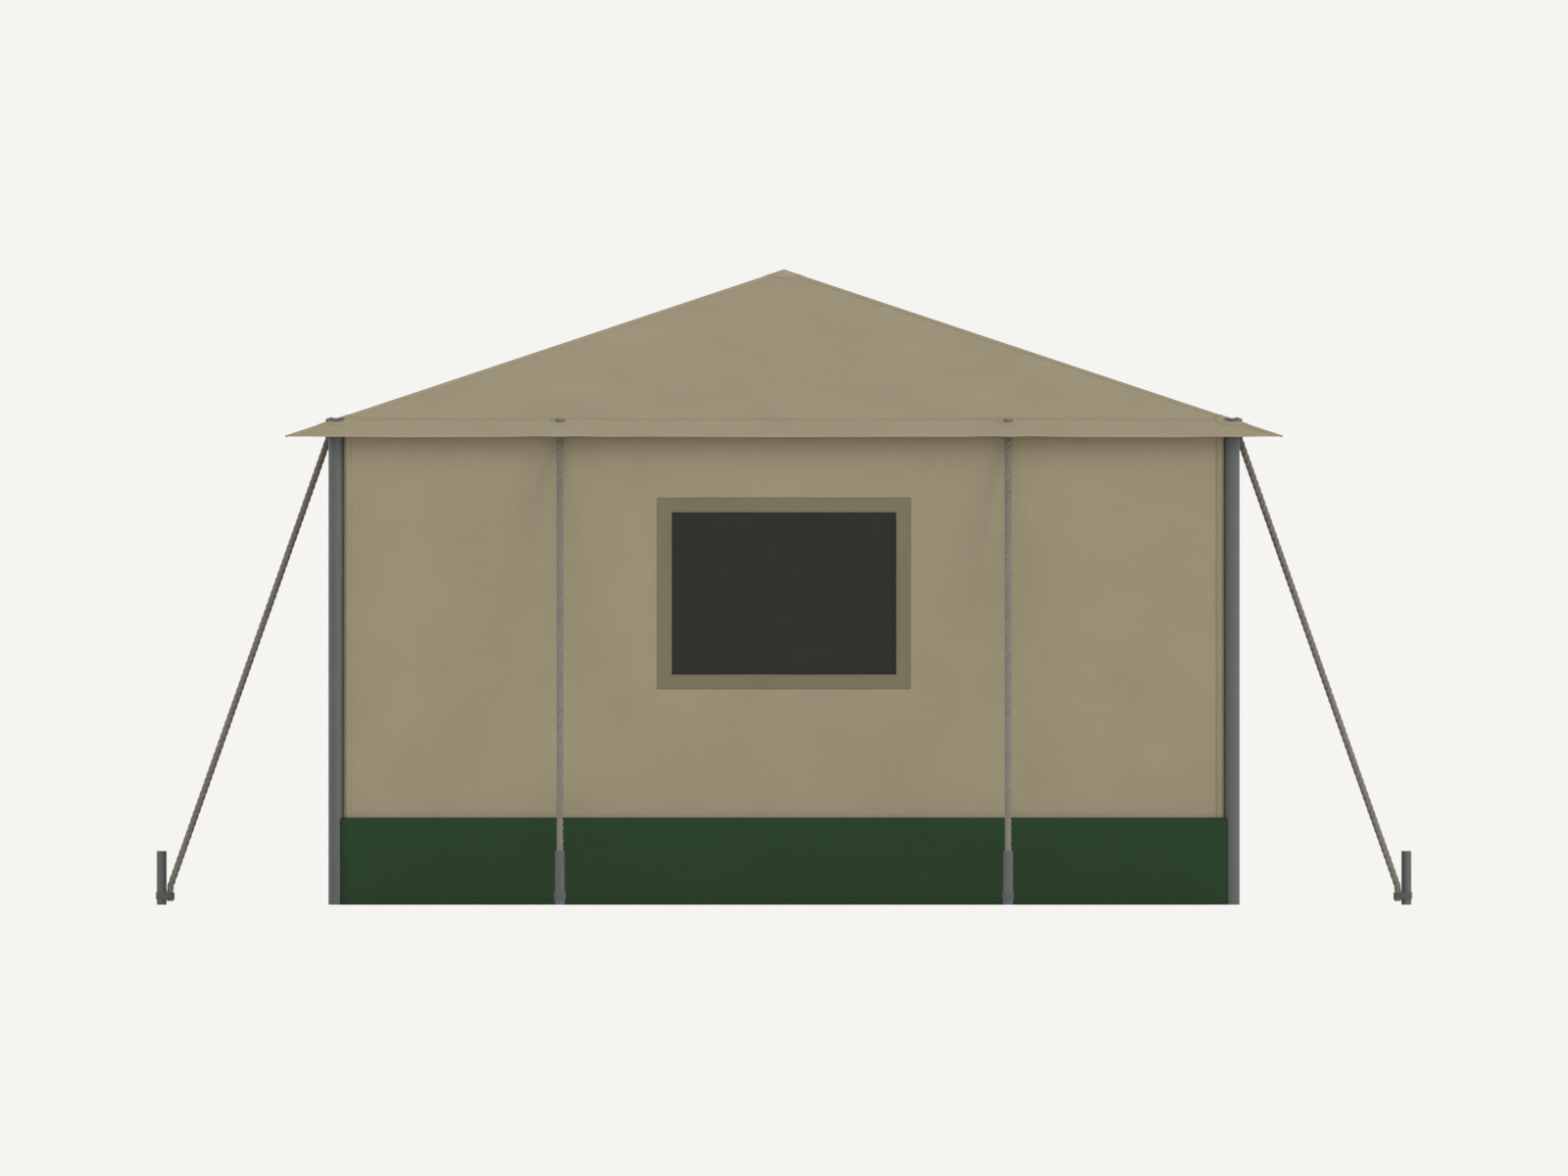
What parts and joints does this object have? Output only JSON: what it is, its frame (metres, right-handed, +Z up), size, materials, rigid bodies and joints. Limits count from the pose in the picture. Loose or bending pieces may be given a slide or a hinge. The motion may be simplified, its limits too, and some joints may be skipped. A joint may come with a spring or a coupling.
{
  "type": "family tent",
  "caption": "Square canvas frame tent with a low pyramid roof, meshed windows, a zipped door, a foot skirt, and guy ropes run down to stakes on every side.",
  "frame": {"origin": "on the ground under the roof's peak, the centre of the base", "axes": "+Z up, -Y out through the front wall (the window side that the picture shows), +X to the right seen from the front"},
  "size_m": [4.2056, 4.2056, 2.125],
  "materials": {
    "roof_canvas": "matte",
    "wall_canvas": "matte",
    "border_canvas": "matte",
    "insect_mesh": "matte",
    "skirt_cloth": "matte",
    "floor_cloth": "matte",
    "steel": "satin",
    "plastic": "matte",
    "zip": "matte",
    "brass": "satin",
    "rope": "matte"
  },
  "bodies": {
    "tent": {"post_front_left": "steel", "post_front_right": "steel", "post_back_right": "steel", "post_back_left": "steel", "foot_front_left": "plastic", "foot_front_right": "plastic", "foot_back_right": "plastic", "foot_back_left": "plastic", "corner_fitting_front_left": "steel", "corner_fitting_front_right": "steel", "corner_fitting_back_right": "steel", "corner_fitting_back_left": "steel", "eave_rail_front": "steel", "eave_rail_right": "steel", "eave_rail_back": "steel", "eave_rail_left": "steel", "hip_rafter_front_left": "steel", "hip_rafter_front_right": "steel", "hip_rafter_back_right": "steel", "hip_rafter_back_left": "steel", "crown_hub": "steel", "roof_canopy": "roof_canvas", "wall_front": "wall_canvas", "wall_right": "wall_canvas", "wall_back": "wall_canvas", "wall_left": "wall_canvas", "skirt_front": "skirt_cloth", "skirt_right": "skirt_cloth", "skirt_left": "skirt_cloth", "skirt_back_right": "skirt_cloth", "skirt_back_left": "skirt_cloth", "window_border_front": "border_canvas", "window_mesh_front": "insect_mesh", "window_border_right": "border_canvas", "window_mesh_right": "insect_mesh", "window_border_left": "border_canvas", "window_mesh_left": "insect_mesh", "groundsheet": "floor_cloth", "guy_rope_front_left": "rope", "guy_rope_front_right": "rope", "guy_rope_right_front": "rope", "guy_rope_right_back": "rope", "guy_rope_back_right": "rope", "guy_rope_back_left": "rope", "guy_rope_left_back": "rope", "guy_rope_left_front": "rope", "stake_front_left": "steel", "stake_front_right": "steel", "stake_right_front": "steel", "stake_right_back": "steel", "stake_back_right": "steel", "stake_back_left": "steel", "stake_left_back": "steel", "stake_left_front": "steel"},
    "door": {"door_flap": "wall_canvas", "door_zip": "zip"},
    "slider": {"zip_slider": "brass"},
    "curtain_front": {"window_curtain_front": "wall_canvas"},
    "curtain_right": {"window_curtain_right": "wall_canvas"},
    "curtain_left": {"window_curtain_left": "wall_canvas"}
  },
  "joints": [
    {"name": "door_swing", "type": "hinge", "parent": "tent", "child": "door", "pos_m": [-0.45, 1.5055, 0.755], "axis": [0, 0, 1], "range_deg": [0, 110]},
    {"name": "zip_slide", "type": "slide", "parent": "door", "child": "slider", "axis": [0, 0, 1], "range_m": [0, 1.33]},
    {"name": "curtain_front_turn", "type": "hinge", "parent": "tent", "child": "curtain_front", "pos_m": [0, -1.4955, 0.7402], "axis": [1, 0, 0], "range_deg": [0, 180]},
    {"name": "curtain_right_turn", "type": "hinge", "parent": "tent", "child": "curtain_right", "pos_m": [1.4955, 0, 0.7402], "axis": [0, 1, 0], "range_deg": [0, 180]},
    {"name": "curtain_left_turn", "type": "hinge", "parent": "tent", "child": "curtain_left", "pos_m": [-1.4955, 0, 0.7402], "axis": [0, -1, 0], "range_deg": [0, 180]}
  ]
}
